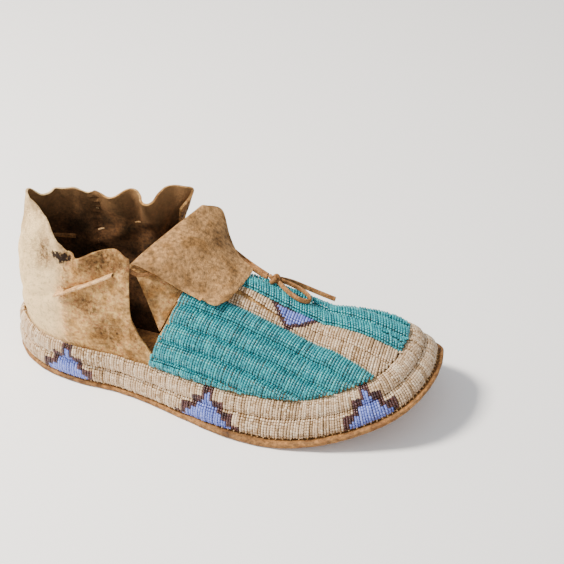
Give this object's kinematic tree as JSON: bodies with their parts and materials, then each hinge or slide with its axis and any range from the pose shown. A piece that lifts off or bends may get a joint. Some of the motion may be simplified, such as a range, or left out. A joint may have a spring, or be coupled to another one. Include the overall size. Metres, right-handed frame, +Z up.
{
  "type": "beaded moccasin",
  "caption": "Right-foot hide moccasin with a stiff rawhide sole, lane-stitched bead cover, folding tongue and a hide lace tied at the instep.",
  "frame": {"origin": "bottom centre of the bounding box of the shoe, leaving out the lace's free ends", "axes": "+X from heel to toe, +Y towards the inner side of the foot, +Z up from the ground"},
  "size_m": [0.2674, 0.1076, 0.111],
  "materials": {
    "rawhide": "stiff, semi-matt",
    "smoked_hide": "matt, napped",
    "tongue_leather": "matt, soft",
    "cream_beads": "opaque, glossy",
    "turquoise_beads": "opaque, glossy",
    "stripe_beads": "opaque, glossy",
    "lace_thong": "worn, semi-matt",
    "sinew": "waxed, semi-matt"
  },
  "bodies": {
    "shoe": {"sole": "rawhide", "vamp_hide": "smoked_hide", "lateral_quarter": "smoked_hide", "heel_quarter": "smoked_hide", "medial_quarter": "smoked_hide", "border_lane_lower": "cream_beads", "border_lane_upper": "cream_beads", "sole_seam_thread": "sinew", "lateral_lane_1": "turquoise_beads", "lateral_lane_2": "turquoise_beads", "lateral_lane_3": "turquoise_beads", "lateral_lane_4": "turquoise_beads", "stripe_row_lateral": "stripe_beads", "stripe_row_medial": "stripe_beads", "medial_lane_1": "turquoise_beads", "medial_lane_2": "turquoise_beads", "medial_lane_3": "turquoise_beads", "medial_lane_4": "turquoise_beads", "tongue_root": "tongue_leather", "lace_outer_run": "lace_thong", "lace_heel_run": "lace_thong", "lace_inner_run": "lace_thong", "lace_crossing": "lace_thong", "lace_inner_end": "lace_thong", "lace_bow_loop": "lace_thong", "lace_long_tail": "lace_thong", "lace_knot": "lace_thong", "lateral_seam_stitches": "sinew", "medial_seam_stitches": "sinew", "throat_seam_stitches": "sinew"},
    "tongue_upper": {"tongue": "tongue_leather"},
    "flap": {"tongue_flap": "tongue_leather"}
  },
  "joints": [
    {"name": "tongue_swing", "type": "hinge", "parent": "shoe", "child": "tongue_upper", "pos_m": [-0.02597, 0.0417, 0.0751], "axis": [-0.2921, -0.9461, -0.1399], "range_deg": [0, 10]},
    {"name": "flap_fold", "type": "hinge", "parent": "tongue_upper", "child": "flap", "pos_m": [-0.02327, 0.04571, 0.093], "axis": [-0.4435, -0.8705, -0.2135], "range_deg": [0, 95]}
  ]
}
